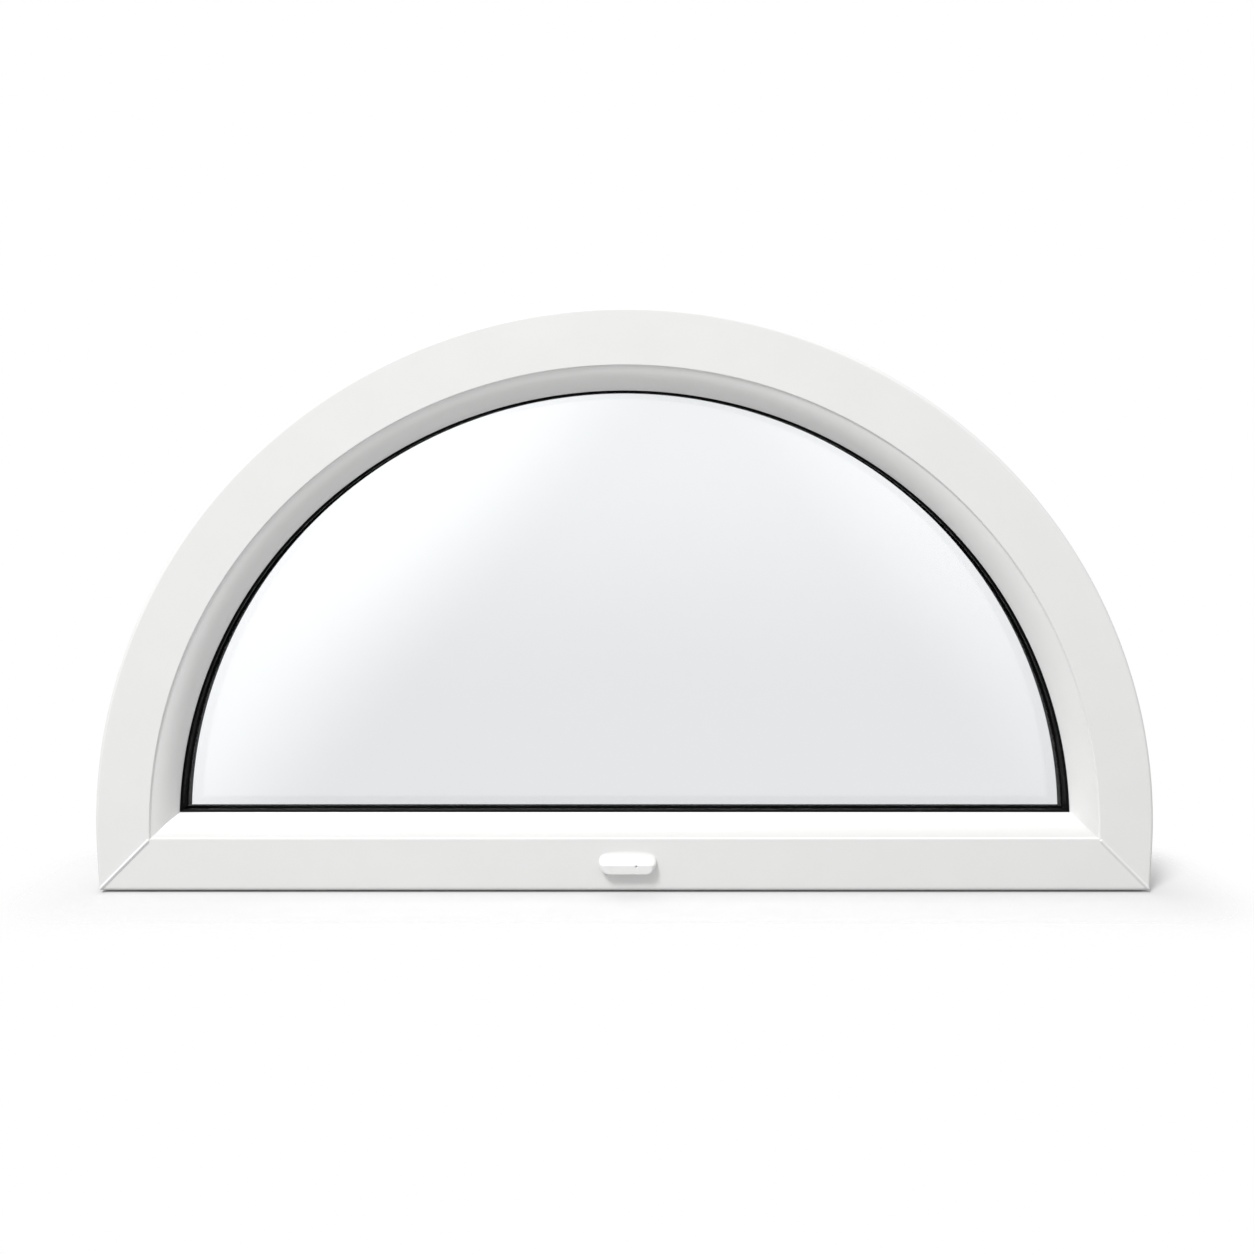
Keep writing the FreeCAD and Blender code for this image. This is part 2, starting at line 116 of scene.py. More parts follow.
def frameSection():
    p = frameProfile
    soft = p["softEdge"]
    quirk = (p["faceWidth"] + p["quirkWidth"], p["quirkDepth"])
    leg = (sightEdge, p["ovoloDepth"])
    clips = []
    for back in (frameDepth - p["clipInset"], p["clipInset"] + p["clipWidth"]):
        front = back - p["clipWidth"]
        clips += [
            (0, back, soft),
            (p["clipDepth"], back + p["clipUndercut"], soft),
            (p["clipDepth"], front - p["clipUndercut"], soft),
            (0, front, soft),
        ]
    return roundedRing([
        (0, 0, p["edgeRound"]),
        (p["faceWidth"], 0, soft),
        (*quirk, p["quirkRound"]),
        bulge(quirk, leg, p["ovoloRadius"]),
        (*leg, soft),
        (sightEdge, rebateFace, soft),
        (rebateFloor, rebateFace, soft),
        (rebateFloor, grooveFront, soft),
        (grooveFloor, grooveFront, soft),
        (grooveFloor, grooveBack, soft),
        (rebateFloor, grooveBack, soft),
        (rebateFloor, frameDepth, soft),
        (0, frameDepth, p["backRound"]),
        *clips,
    ])


# sweeps
# the two members meet on one mitre line, from the lower outer corner to where the sight edges cross

sightRadius = halfWidth - sightEdge
sightCorner = math.sqrt(sightRadius**2 - max(0, sightEdge - springHeight) ** 2)
mitreSlope = (halfWidth - sightCorner) / sightEdge


def archPath(share, inset):
    # share 0..1 runs from the right mitre over the crown to the left one. The turn is an angle on the
    # half circle, and what falls outside 0..pi is the straight leg below the spring line
    legEnd = np.maximum(inset / mitreSlope, frameProfile["cornerTrim"] - inset)
    radius = halfWidth - inset
    reach = (halfWidth - mitreSlope * springHeight) / (radius * math.hypot(1, mitreSlope))
    bowEnd = math.atan(mitreSlope) - np.arccos(np.clip(reach, -1, 1))
    first = np.where(legEnd < springHeight, (legEnd - springHeight) / halfWidth, bowEnd)
    turn = first + (math.pi - 2 * first) * share
    angle = np.clip(turn, 0, math.pi)
    x = radius * np.cos(angle)
    z = springHeight + radius * np.sin(angle) - np.abs(turn - angle) * halfWidth
    return x, z, -np.cos(angle), -np.sin(angle), turn * halfWidth


def railPath(share, inset):
    # share 0..1 runs from the left mitre to the right one, and the inset is the height
    reach = np.minimum(halfWidth - mitreSlope * inset, halfWidth - frameProfile["cornerTrim"] + inset)
    x = (2 * share - 1) * reach
    return x, inset + 0 * x, 0 * x, 1 + 0 * x, x


def sweep(section, path, stations):
    # every section point is carried along the path at its own inset; its normal leans with the path
    ring, normal = section
    share = np.linspace(0, 1, stations)[:, None]
    x, z, inX, inZ, run = path(share, ring[None, :, 0])
    y = frameFront + ring[None, :, 1] + 0 * x
    verts = np.stack([x, y, z], 2) * mm
    across, deep = normal[None, :, 0], normal[None, :, 1]
    normals = np.stack([inX * across, deep + 0 * x, inZ * across], 2)
    edges = np.linalg.norm(np.roll(ring, -1, 0) - ring, axis=1)
    girth = np.concatenate([[0], np.cumsum(edges)])
    return verts, normals, run * mm, girth * mm


def sweepMesh(name, sweeps):
    # quads over each grid, closed round the section, and one flat face on each mitred end
    verts, faces, normals, uvs, base = [], [], [], [], 0
    for grid, gridNormals, run, girth in sweeps:
        rows, cols = grid.shape[:2]
        i, j = np.meshgrid(np.arange(rows - 1), np.arange(cols), indexing="ij")
        near, far = i * cols, (i + 1) * cols
        after = (j + 1) % cols
        quads = np.stack([near + j, near + after, far + after, far + j], 2).reshape(-1, 4)
        quadUv = np.stack([
            np.stack([run[i, j], girth[j]], 2),
            np.stack([run[i, after], girth[j + 1]], 2),
            np.stack([run[i + 1, after], girth[j + 1]], 2),
            np.stack([run[i + 1, j], girth[j]], 2),
        ], 2).reshape(-1, 4, 2)
        points, pointNormals = grid.reshape(-1, 3), gridNormals.reshape(-1, 3)
        corner = points[quads]
        facing = np.cross(corner[:, 2] - corner[:, 0], corner[:, 3] - corner[:, 1])
        inward = (facing * pointNormals[quads].sum(1)).sum() < 0
        order = slice(None, None, -1) if inward else slice(None)
        quads, quadUv = quads[:, order], quadUv[:, order]
        ends = [np.arange(cols)[::-1], np.arange(cols) + (rows - 1) * cols]
        ends = [end[order] for end in ends]
        faces += (quads + base).tolist() + [(end + base).tolist() for end in ends]
        normals.append(pointNormals[quads].reshape(-1, 3))
        uvs.append(quadUv.reshape(-1, 2))
        for end in ends:
            loop = points[end]
            flat = np.cross(loop, np.roll(loop, -1, 0)).sum(0)
            normals.append(np.tile(flat / np.linalg.norm(flat), (cols, 1)))
            uvs.append(loop[:, :2])
        verts.append(points)
        base += len(points)
    mesh = bpy.data.meshes.new(name)
    mesh.from_pydata(np.concatenate(verts).tolist(), [], faces)
    mesh.uv_layers.new(name="run").data.foreach_set("uv", np.concatenate(uvs).ravel())
    mesh.polygons.foreach_set("use_smooth", np.ones(len(faces), bool))
    mesh.normals_split_custom_set(np.concatenate(normals).tolist())
    return mesh


def gridMesh(name, grid, closeLast=False):
    # quads over a grid of points, closed round every row, with a flat face on the first row and, where
    # it is open, on the last
    rows, cols = grid.shape[:2]
    i, j = np.meshgrid(np.arange(rows - 1), np.arange(cols), indexing="ij")
    after = (j + 1) % cols
    quads = np.stack([i * cols + j, i * cols + after, (i + 1) * cols + after, (i + 1) * cols + j], 2)
    faces = quads.reshape(-1, 4).tolist()
    faces.append(np.arange(cols)[::-1].tolist())
    if closeLast:
        faces.append((np.arange(cols) + (rows - 1) * cols).tolist())
    mesh = bpy.data.meshes.new(name)
    mesh.from_pydata((grid.reshape(-1, 3) * mm).tolist(), [], faces)
    mesh.polygons.foreach_set("use_smooth", np.ones(len(faces), bool))
    return mesh


def addPiece(name, mesh, material, slot, *nodes):
    piece = bpy.data.objects.new(name, mesh)
    bpy.context.scene.collection.objects.link(piece)
    mesh.materials.append(material)
    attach(piece, "root")
    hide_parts(*nodes)


# materials


def linearColour(code):
    channels = np.array([int(code[k:k + 2], 16) for k in (1, 3, 5)]) / 255
    linear = np.where(channels <= 0.04045, channels / 12.92, ((channels + 0.055) / 1.055) ** 2.4)
    return (*linear.tolist(), 1.0)


def feed(tree, node, inputs):
    # an input takes a value, or a link when given a socket
    for key, value in inputs.items():
        if isinstance(value, bpy.types.NodeSocket):
            tree.links.new(value, node.inputs[key])
        else:
            node.inputs[key].default_value = value


def addNode(tree, kind, settings=None, inputs=None):
    # settings are the node's own properties
    node = tree.nodes.new(kind)
    for key, value in (settings or {}).items():
        setattr(node, key, value)
    feed(tree, node, inputs or {})
    return node


def newMaterial(name):
    material = bpy.data.materials.new(name)
    material.use_nodes = True
    tree = material.node_tree
    return material, tree, tree.nodes["Principled BSDF"]


noiseSpan = (0.3, 0.7)  # nearly all of a noise lies between these values


def perMetre(size):
    return 1 / (size * mm)  # noise scale whose features are about this many millimetres


def patchNoise(tree, finish):
    place = addNode(tree, "ShaderNodeTexCoord")
    return addNode(tree, "ShaderNodeTexNoise", None, {
        "Vector": place.outputs["Object"], "Scale": perMetre(finish["patch"]), "Detail": finish["detail"],
    }).outputs["Fac"]


def mixedTone(tree, noise, finish):
    return addNode(tree, "ShaderNodeMix", {"data_type": "RGBA"}, {
        0: noise, 6: linearColour(finish["dark"]), 7: linearColour(finish["light"]),
    }).outputs[2]


def mixedGloss(tree, noise, finish):
    return addNode(tree, "ShaderNodeMapRange", None, {
        "Value": noise, "From Min": noiseSpan[0], "From Max": noiseSpan[1],
        "To Min": finish["roughness"][0], "To Max": finish["roughness"][1],
    }).outputs["Result"]


def bumped(tree, noise, finish):
    return addNode(tree, "ShaderNodeBump", None, {
        "Height": noise, "Strength": finish["bump"], "Distance": finish["bumpHeight"] * mm,
    }).outputs["Normal"]


upvcFinish = {
    "light": "#F0F0EF", "dark": "#EDEDEC", "patch": 45.0, "detail": 4.0,
    "roughness": (0.30, 0.40), "ior": 1.53,
    "dieLine": 0.7,  # spacing across the section, drawn coarser than the real 0.1 mm so that it shows
    "dieRun": 260.0, "dieDetail": 2.0, "dieRoughness": 0.6,
    "bump": 0.12, "bumpHeight": 0.02,
}


def extrudedUpvc():
    # impact-modified PVC-U from a polished die: white, an even satin gloss, faint lines along the run
    material, tree, shader = newMaterial("extruded white PVC-U")
    f = upvcFinish
    run = addNode(tree, "ShaderNodeUVMap", {"uv_map": "run"})
    stretch = addNode(tree, "ShaderNodeMapping", None, {
        "Vector": run.outputs["UV"],
        "Scale": (perMetre(f["dieRun"]), perMetre(f["dieLine"]), 1.0),
    })
    lines = addNode(tree, "ShaderNodeTexNoise", None, {
        "Vector": stretch.outputs["Vector"], "Scale": 1.0,
        "Detail": f["dieDetail"], "Roughness": f["dieRoughness"],
    }).outputs["Fac"]
    cloud = patchNoise(tree, f)
    feed(tree, shader, {
        "Base Color": mixedTone(tree, cloud, f), "Roughness": mixedGloss(tree, cloud, f),
        "Normal": bumped(tree, lines, f), "IOR": f["ior"],
    })
    return material


mouldFinish = {
    "light": "#F3F3F2", "dark": "#EFEFEE", "patch": 0.6, "detail": 3.0,
    "roughness": (0.38, 0.48), "ior": 1.53,
    "bump": 0.1, "bumpHeight": 0.05,
}


def mouldedUpvc():
    # injection-moulded PVC-U: the same white, a little duller from the tool's fine spark-eroded grain
    material, tree, shader = newMaterial("moulded white PVC-U")
    f = mouldFinish
    grain = patchNoise(tree, f)
    feed(tree, shader, {
        "Base Color": mixedTone(tree, grain, f), "Roughness": mixedGloss(tree, grain, f),
        "Normal": bumped(tree, grain, f), "IOR": f["ior"],
    })
    return material


rubberFinish = {
    "light": "#131314", "dark": "#0A0A0B", "patch": 4.0, "detail": 5.0,
    "roughness": (0.45, 0.6), "ior": 1.5,
    "sheen": 0.06,  # carbon black soaks up most of it
}


def extrudedRubber():
    # extruded EPDM rubber: deep black, soft low sheen, with a faint greyish bloom in patches
    material, tree, shader = newMaterial("extruded black EPDM")
    f = rubberFinish
    bloom = patchNoise(tree, f)
    feed(tree, shader, {
        "Base Color": mixedTone(tree, bloom, f), "Roughness": mixedGloss(tree, bloom, f),
        "IOR": f["ior"], "Specular IOR Level": f["sheen"],
    })
    return material


plasticFinish = {
    "warm-edge spacer film": {"light": "#101011", "dark": "#0A0A0B", "patch": 1.5, "roughness": 0.7},
    "tooled black polysulphide": {"light": "#1E1E1F", "dark": "#141415", "patch": 6.0, "roughness": 0.7},
    "moulded blue polypropylene": {"light": "#35608F", "dark": "#2D547F", "patch": 3.0, "roughness": 0.5},
}
plasticShared = {"detail": 3.0, "sheen": 0.15}


def finePlastic(name):
    # sheet, sealant and moulded plastics inside the rebate: matte, with a fine uneven tone
    material, tree, shader = newMaterial(name)
    f = plasticFinish[name] | plasticShared
    feed(tree, shader, {
        "Base Color": mixedTone(tree, patchNoise(tree, f), f),
        "Roughness": f["roughness"], "Specular IOR Level": f["sheen"],
    })
    return material


glassFinish = {"light": "#F4F5F6", "dark": "#F3F4F5", "patch": 350.0, "detail": 1.0, "ior": 1.52}


def floatGlass():
    # coated float glass: clear and flat, with the slight cool grey of a low-emissivity unit
    material, tree, shader = newMaterial("coated float glass")
    f = glassFinish
    feed(tree, shader, {
        "Base Color": mixedTone(tree, patchNoise(tree, f), f),
        "Roughness": 0.0, "IOR": f["ior"], "Transmission Weight": 1.0,
    })
    return material


whiteUpvc = extrudedUpvc()
whiteMoulding = mouldedUpvc()
blackRubber = extrudedRubber()
spacerFilm = finePlastic("warm-edge spacer film")
sealant = finePlastic("tooled black polysulphide")
blockPlastic = finePlastic("moulded blue polypropylene")
clearGlass = floatGlass()
print("materials ready:", len(bpy.data.materials))


# frame, gaskets and beads

sweepDetail = {"arch": 224, "rail": 24}  # stations along the run


def member(name, section, path, material, slot, *nodes):
    stations = sweepDetail["arch"] if path is archPath else sweepDetail["rail"]
    addPiece(name, sweepMesh(name, [sweep(section, path, stations)]), material, slot, *nodes)


member("archProfile", frameSection(), archPath, whiteUpvc, "white_upvc", "arch_frame")
member("railProfile", frameSection(), railPath, whiteUpvc, "white_upvc", "bottom_rail")

gasketShape = {
    "seat": 9.0, "round": 0.4,
    "lip": 2.1,  # prouder than the solid's, for the full width of the black band
}


def frontGasketSection():
    # a flat strip behind the leg, with a soft lip that wraps its tip
    g = gasketShape
    inner, lip, deep = sightEdge - g["seat"], sightEdge + g["lip"], frameProfile["ovoloDepth"]
    return roundedRing([
        (inner, rebateFace, g["round"]),
        (sightEdge, rebateFace, g["round"]),
        (sightEdge, deep, g["round"]),
        (lip, deep + g["lip"], g["round"]),
        (lip, glassFront, g["round"]),
        (inner, glassFront, g["round"]),
    ])


beadShape = {
    "height": 18.0, "setback": 0.8, "step": 3.0, "nose": 2.5, "radius": 26.0,
    "clearance": 0.2, "gasket": 3.5, "softEdge": 0.4,
}
beadFront = glassBack + beadShape["gasket"]
beadTop = rebateFloor + beadShape["height"]


def backGasketSection():
    g = gasketShape
    inner, lip = beadTop - g["seat"], beadTop + g["lip"]
    return roundedRing([
        (inner, glassBack, g["round"]),
        (lip, glassBack, g["round"]),
        (lip, beadFront, g["round"]),
        (inner, beadFront, g["round"]),
    ])


def beadSection():
    # the room-side bead: a tongue in the groove, a sloping back to the glass and a quarter-round face
    b = beadShape
    soft = b["softEdge"]
    tongueEnd = grooveFloor + b["clearance"]
    tongueFront, tongueBack = grooveFront + b["clearance"], grooveBack - b["clearance"]
    nose = (beadTop, beadFront + b["nose"])
    heel = (rebateFloor + b["step"], frameDepth - b["setback"])
    return roundedRing([
        (tongueEnd, tongueFront, soft),
        (rebateFloor, tongueFront, soft),
        (beadTop - gasketShape["seat"], beadFront, soft),
        (beadTop, beadFront, soft),
        (*nose, soft),
        bulge(nose, heel, b["radius"]),
        (*heel, soft),
        (rebateFloor, heel[1], soft),
        (rebateFloor, tongueBack, soft),
        (tongueEnd, tongueBack, soft),
    ])


glazingTrim = (
    ("frontGasket", frontGasketSection(), blackRubber, "black_gasket", "front_gasket_"),
    ("backGasket", backGasketSection(), blackRubber, "black_gasket", "back_gasket_"),
    ("glazingBead", beadSection(), whiteUpvc, "white_upvc", "glazing_bead_"),
)
for part, path in (("Arch", archPath), ("Bottom", railPath)):
    for name, section, material, slot, node in glazingTrim:
        member(name + part, section, path, material, slot, node + part.lower())
print("frame, gaskets and beads swept")


# sealed unit

spacerShape = {"edge": 61.5, "sight": 68.0, "round": 0.8}


def spacerSection():
    s = spacerShape
    return roundedRing([
        (s["edge"], gapFront, s["round"]),
        (s["sight"], gapFront, s["round"]),
        (s["sight"], gapBack, s["round"]),
        (s["edge"], gapBack, s["round"]),
    ])


spacerSweeps = [
    sweep(spacerSection(), archPath, sweepDetail["arch"]),
    sweep(spacerSection(), railPath, sweepDetail["rail"]),
]
addPiece("spacerBar", sweepMesh("spacerBar", spacerSweeps), spacerFilm, "black_spacer", "spacer_bar")

cadFinish = {
    "outer_pane": clearGlass,
    "inner_pane": clearGlass,
    "edge_seal": sealant,
    "setting_block_left": blockPlastic,
    "setting_block_right": blockPlastic,
    "location_block_left": blockPlastic,
    "location_block_right": blockPlastic,
}
for node, material in cadFinish.items():
    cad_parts[node].data.materials.clear()
    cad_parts[node].data.materials.append(material)
for node in ("outer_pane", "inner_pane"):
    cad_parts[node].visible_shadow = False  # daylight passes a window
print("sealed unit dressed")


# welded corners

weldShape = {
    "width": 4.0, "height": 1.3, "sunk": 0.5,
    "crest": 0.12,  # share of the half width over which the crest is rounded
    "start": 1.6, "stop": 0.8,  # from the corner's tip, and short of the quirk
    "tipRound": 0.35, "quirkRound": 1.6,
    "least": 0.02,  # share of the section that is left at both tips
    "stations": 90, "around": 28,
}


def weldRidge(side, deep, faceEnd):
    # a long low roof along the mitre: its section runs round from 1 to -1 across the top as a tent with
    # a rounded crest, and back through a shallow hidden belly; both ends close on a quarter circle, and
    # the base follows the rounded outer edge of the face
    w = weldShape
    half, crest = w["width"] / 2, w["crest"]
    along = (1 - np.cos(np.linspace(0, math.pi, w["stations"]))) / 2
    height = w["start"] + (faceEnd - w["stop"] - w["start"]) * along
    reach = (height - w["start"]) * math.hypot(1, mitreSlope)
    near = np.clip(reach / w["tipRound"], 0, 1)
    far = np.clip((reach[-1] - reach) / w["quirkRound"], 0, 1)
    ends = np.sqrt(np.clip(1 - (1 - near * far) ** 2, w["least"] ** 2, 1))
    around = np.linspace(0, 2 * math.pi, w["around"], endpoint=False)
    across = np.cos(around)
    tent = (math.hypot(1, crest) - np.hypot(across, crest)) / (math.hypot(1, crest) - crest)
    rise = np.where(np.sin(around) > 0, w["height"] * tent, w["sunk"] * np.sin(around))
    width = (half * ends)[:, None] * across
    lift = ends[:, None] * rise
    tilt = math.atan(mitreSlope)
    x = halfWidth - mitreSlope * height[:, None] + width * math.cos(tilt)
    z = height[:, None] + width * math.sin(tilt)
    edge = frameProfile["edgeRound"] if deep == 0 else frameProfile["backRound"]
    fall = edge - np.sqrt(edge**2 - np.clip(edge - np.minimum(halfWidth - x, z), 0, edge) ** 2)
    away = -1 if deep == 0 else 1
    y = frameFront + deep + away * (lift - fall)
    return np.stack([side * x, y, z], 2)


def outwardFaces(mesh):
    # turns the whole shell when its signed volume comes out negative
    mesh.calc_loop_triangles()
    triangles = np.empty(len(mesh.loop_triangles) * 3, np.int32)
    mesh.loop_triangles.foreach_get("vertices", triangles)
    spots = np.empty(len(mesh.vertices) * 3)
    mesh.vertices.foreach_get("co", spots)
    a, b, c = np.moveaxis(spots.reshape(-1, 3)[triangles.reshape(-1, 3)], 1, 0)
    if (a * np.cross(b, c)).sum() < 0:
        mesh.flip_normals()
    return mesh


weldFaces = (("Front", 0, frameProfile["faceWidth"]), ("Back", frameDepth, rebateFloor))
for sideName, side in (("Left", -1), ("Right", 1)):
    for faceName, deep, faceEnd in weldFaces:
        name = "weldRidge" + faceName + sideName
        mesh = outwardFaces(gridMesh(name, weldRidge(side, deep, faceEnd), closeLast=True))
        node = "weld_bead_" + faceName.lower() + "_" + sideName.lower()
        addPiece(name, mesh, whiteMoulding, "white_upvc", node)
print("corner welds laid")


# drain cap

capShape = {
    "middle": 3.0, "bottom": 18.5,
    "width": 54.5, "height": 21.5,
    "projection": 8.5, "frontHeight": 10.0,
    "crease": 1.2, "toe": 5.5,  # rounding of the slope's front edge, and the hollow at its foot
    "shoulder": 4.0, "dome": 3.0,  # how far, and how late, the slope's upper edge comes down at the ends
    "sunk": 0.4, "thinnest": 0.04,  # depth of the hidden base and of the feathered edge inside the face
    "rim": 1.8, "endRim": 5.5,  # edge rounding, wider at the ends
    "endFall": 1.5,  # how much deeper than wide the end rounding is
    "fullness": (0.8, 1.08),  # of the lower and upper half of the ends: 1 is round, less is squarer
    "seam": -11.3, "seamWidth": 0.45, "seamDepth": 0.3, "seamTop": 33.0, "seamFade": 0.5,
    "pins": ((11.1, 26.9, 0.85, 3.2), (11.1, 21.2, 0.55, 0.6)),  # ejector pin marks: x, z, radius, depth
}
capDetail = {"run": 180, "bend": 48, "wall": 6, "rim": 13, "cover": 42}  # points along and up the outline


def softMinimum(a, b, ease):
    # the smaller of two heights, with their crossing rounded off
    share = np.clip(0.5 + (a - b) / (2 * ease), 0, 1)
    return a + (b - a) * share - ease * share * (1 - share)


def capHeight(x, z):
    # the lower of a flat front and a slope that falls from the crease to the face, less the seam and the
    # pin marks, which are small bell-shaped hollows; the slope's upper edge bows down at both ends
    c = capShape
    bow = c["shoulder"] * np.abs((x - c["middle"]) / (c["width"] / 2)) ** c["dome"]
    upper = c["bottom"] + c["height"] - bow
    slope = (c["projection"] + c["toe"]) / (upper - c["bottom"] - c["frontHeight"])
    top = c["projection"] - slope * (z - c["bottom"] - c["frontHeight"])
    top = -softMinimum(-top, 0 * top, c["toe"])
    height = softMinimum(top, c["projection"] + 0 * top, c["crease"])
    line = np.exp(-(((x - c["seam"]) / c["seamWidth"]) ** 2))
    height -= c["seamDepth"] * line / (1 + np.exp((z - c["seamTop"]) / c["seamFade"]))
    for pinX, pinZ, radius, depth in c["pins"]:
        height -= depth * np.exp(-((((x - pinX) ** 2 + (z - pinZ) ** 2) / radius**2) ** 2))
    return height


def capGrid():
    # rings of a long outline with nearly round ends, drawn in from the rim to its middle line. The first
    # rings climb the side wall, the next round the rim on a quarter circle, and the rest cover the front
    c, d = capShape, capDetail
    radius = c["height"] / 2
    straight = c["width"] / 2 - radius
    run = np.linspace(-straight, straight, d["run"])
    bend = np.linspace(0, math.pi, d["bend"])[1:-1]
    power = np.where(bend < math.pi / 2, *c["fullness"])
    endX, endZ = np.sin(bend) ** power, -np.sign(np.cos(bend)) * np.abs(np.cos(bend)) ** power
    end = np.full(bend.size, straight)
    middleX = np.concatenate([run, end, run[::-1], -end])
    outX = np.concatenate([0 * run, endX, 0 * run, -endX[::-1]])
    outZ = np.concatenate([0 * run - 1, endZ, 0 * run + 1, endZ[::-1]])
    rim = c["rim"] + (c["endRim"] - c["rim"]) * outX**2
    turn = np.linspace(0, math.pi / 2, d["rim"])[1:, None]
    wall = np.linspace(0, 1, d["wall"])[:, None]
    cover = np.linspace(0, 1, d["cover"])[1:, None]
    inset = np.concatenate([0 * wall * rim, rim * (1 - np.cos(turn)), rim + (radius - rim) * cover])
    climb = np.concatenate([wall, 1 + 0 * turn, 1 + 0 * cover])
    x = c["middle"] + middleX + (radius - inset) * outX
    z = c["bottom"] + radius + (radius - inset) * outZ
    height = np.maximum(capHeight(x, z), 0)
    fall = rim * (1 + (c["endFall"] - 1) * outX**2)
    soft = np.minimum(fall, height)  # where the cap is thin the rounding takes all its height
    level = np.clip(1 - inset / rim, 0, 1)
    height = (height - soft) * climb + soft * np.sqrt(1 - level**2)
    inside = c["sunk"] + (c["thinnest"] - c["sunk"]) * climb
    return np.stack([x, frameFront + inside - height, z], 2)


capMesh = outwardFaces(gridMesh("drainCap", capGrid()))
addPiece("drainCap", capMesh, whiteMoulding, "white_moulding", "drain_cap")
print("drain cap formed")


# studio

studio = {
    "fill": 0.695,  # even light from all round
    # what gloss mirrors: dark round, pale above
    "mirrorDark": 0.05, "mirrorBright": 0.6, "mirrorSpread": (0.1, 0.8),
    # added to white and seen through the glass only: above, at the upper right and at the upper left
    "sky": 0.133, "skySpread": (-0.19, 0.1),
    "rightSky": 0.11, "rightFrom": (0.8, 0.0, 0.6), "rightSpread": (0.13, 0.24),
    "glow": 0.27, "glowFrom": (-0.77, 0.0, 0.64), "glowSpread": (0.045, 0.205),
    "floorGrey": "#B4B4B4", "floorWhite": "#E1E1E1",  # to bounced light, and to the eye
    "floorReach": 1.6,  # metres from the middle to the floor's edges
    "floorFade": (0.0, 0.11),  # metres beyond the base, over which it turns to plain white
    "floorDrop": 1.8,  # millimetres that the frame stands clear of the floor, for the line under the rail
}
keyLamp = {"from": (-0.37, -0.5, 0.78), "distance": 5.5, "size": 1.4, "power": 206.0}  # metres and watts


def lightWorld():
    # an even white studio: plain white to the eye, brighter at both upper sides behind the glass, and
    # dark on all sides but above for what glass and gloss mirror
    world = bpy.data.worlds.new("white studio")
    bpy.context.scene.world = world
    world.use_nodes = True
    tree = world.node_tree
    s = studio
    place = addNode(tree, "ShaderNodeTexCoord")
    ray = addNode(tree, "ShaderNodeLightPath")

    def lobe(axis, spread):
        dot = addNode(tree, "ShaderNodeVectorMath", {"operation": "DOT_PRODUCT"}, {
            0: place.outputs["Generated"], 1: axis,
        })
        return addNode(tree, "ShaderNodeMapRange", {"interpolation_type": "SMOOTHSTEP"}, {
            "Value": dot.outputs["Value"], "From Min": spread[0], "From Max": spread[1],
        }).outputs["Result"]

    def scaled(value, factor, added):
        return addNode(tree, "ShaderNodeMath", {"operation": "MULTIPLY_ADD"}, {
            0: value, 1: factor, 2: added,
        }).outputs["Value"]

    def chosen(test, otherwise, then):
        return addNode(tree, "ShaderNodeMix", None, {0: test, 2: otherwise, 3: then}).outputs[0]

    upward = (0, 0, 1)
    mirrored = scaled(lobe(upward, s["mirrorSpread"]), s["mirrorBright"], s["mirrorDark"])
    through = scaled(lobe(upward, s["skySpread"]), s["sky"], 1.0)
    through = scaled(lobe(s["rightFrom"], s["rightSpread"]), s["rightSky"], through)
    through = scaled(lobe(s["glowFrom"], s["glowSpread"]), s["glow"], through)
    strength = chosen(ray.outputs["Is Glossy Ray"], s["fill"], mirrored)
    strength = chosen(ray.outputs["Is Transmission Ray"], strength, through)
    strength = chosen(ray.outputs["Is Camera Ray"], strength, 1.0)
    feed(tree, tree.nodes["Background"], {"Strength": strength, "Color": (1, 1, 1, 1)})


def hangLamp():
    # one soft box above, in front and to the left, aimed at half the frame's height
    k = keyLamp
    aim = np.array([0, 0, archHigh.z / 2])
    toLamp = np.array(k["from"]) / np.linalg.norm(k["from"])
    lamp = bpy.data.objects.new("softBox", bpy.data.lights.new("softBox", "AREA"))
    lamp.data.shape = "DISK"
    lamp.data.size = k["size"]
    lamp.data.energy = k["power"]
    lamp.location = aim + toLamp * k["distance"]
    lamp.rotation_euler = (math.acos(toLamp[2]), 0, math.atan2(toLamp[1], toLamp[0]) + math.pi / 2)
    bpy.context.scene.collection.objects.link(lamp)


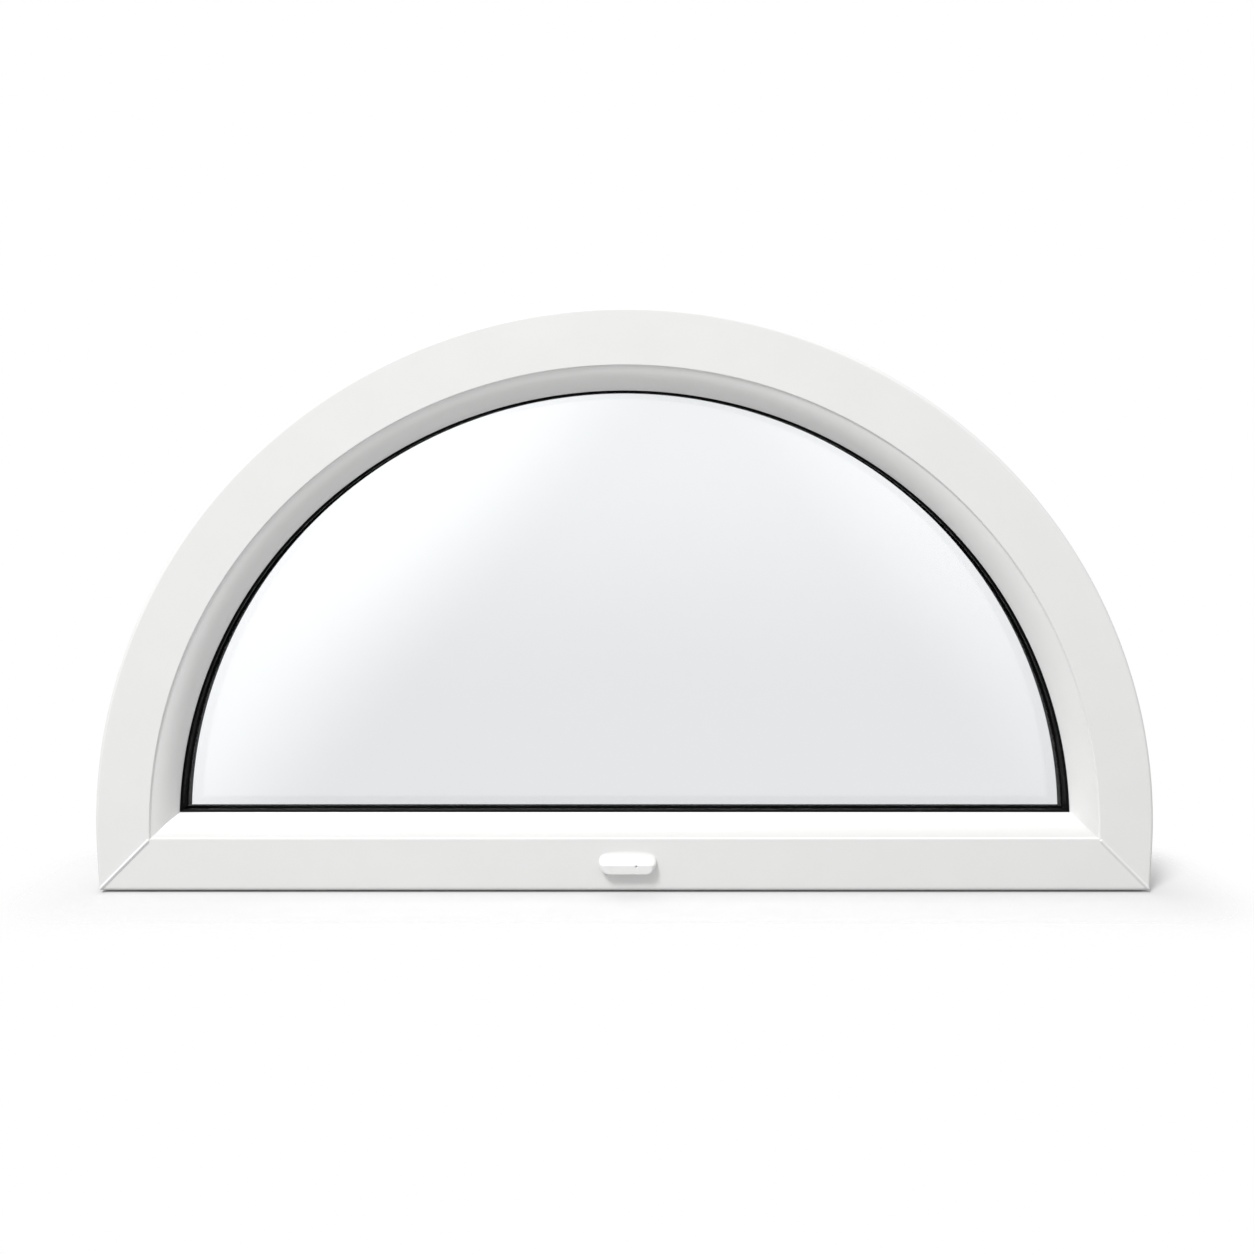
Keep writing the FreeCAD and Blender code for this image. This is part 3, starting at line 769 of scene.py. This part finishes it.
def layFloor():
    # a pale floor that keeps the shadow near the base and fades into the white all round
    material, tree, shader = newMaterial("white studio floor")
    s = studio
    ray = addNode(tree, "ShaderNodeLightPath")
    tone = addNode(tree, "ShaderNodeMix", {"data_type": "RGBA"}, {
        0: ray.outputs["Is Camera Ray"],
        6: linearColour(s["floorGrey"]), 7: linearColour(s["floorWhite"]),
    })
    place = addNode(tree, "ShaderNodeTexCoord")
    folded = addNode(tree, "ShaderNodeVectorMath", {"operation": "ABSOLUTE"}, {
        0: place.outputs["Object"],
    })
    beyond = addNode(tree, "ShaderNodeVectorMath", {"operation": "SUBTRACT"}, {
        0: folded.outputs["Vector"], 1: (halfWidth * mm, frameDepth / 2 * mm, 0),
    })
    outside = addNode(tree, "ShaderNodeVectorMath", {"operation": "MAXIMUM"}, {
        0: beyond.outputs["Vector"], 1: (0, 0, 0),
    })
    away = addNode(tree, "ShaderNodeVectorMath", {"operation": "LENGTH"}, {
        0: outside.outputs["Vector"],
    })
    gone = addNode(tree, "ShaderNodeMapRange", {"interpolation_type": "SMOOTHSTEP"}, {
        "Value": away.outputs["Value"], "From Min": s["floorFade"][0], "From Max": s["floorFade"][1],
    })
    kept = addNode(tree, "ShaderNodeMath", {"operation": "MULTIPLY_ADD"}, {
        0: gone.outputs["Result"], 1: -1.0, 2: 1.0,
    })
    solid = addNode(tree, "ShaderNodeMix", None, {
        0: ray.outputs["Is Camera Ray"], 2: 1.0, 3: kept.outputs["Value"],
    })
    feed(tree, shader, {
        "Base Color": tone.outputs[2], "Alpha": solid.outputs[0],
        "Roughness": 1.0, "Specular IOR Level": 0.0,
    })
    reach, level = s["floorReach"], -s["floorDrop"] * mm
    signs = ((-1, -1), (1, -1), (1, 1), (-1, 1))
    corners = [(reach * x, reach * y, level) for x, y in signs]
    mesh = bpy.data.meshes.new("studioFloor")
    mesh.from_pydata(corners, [], [(0, 1, 2, 3)])
    mesh.materials.append(material)
    floor = bpy.data.objects.new("studioFloor", mesh)
    bpy.context.scene.collection.objects.link(floor)
    floor.visible_glossy = False
    floor.visible_transmission = False


lightWorld()
hangLamp()
layFloor()

# millimetres to the right, out from the face and up, and degrees down
view = {"across": 2.31, "away": 901.8, "height": 351.4, "pitch": 6.263, "lens": 28.26, "sensor": 36.0}
camera = bpy.data.objects.new("camera", bpy.data.cameras.new("camera"))
camera.data.sensor_width = view["sensor"]
camera.data.lens = view["lens"]
camera.location = (view["across"] * mm, (frameFront - view["away"]) * mm, view["height"] * mm)
camera.rotation_euler = (math.radians(90 - view["pitch"]), 0, 0)
bpy.context.scene.collection.objects.link(camera)
bpy.context.scene.camera = camera
bpy.context.scene.view_settings.view_transform = "Standard"
print("studio lit, camera set")
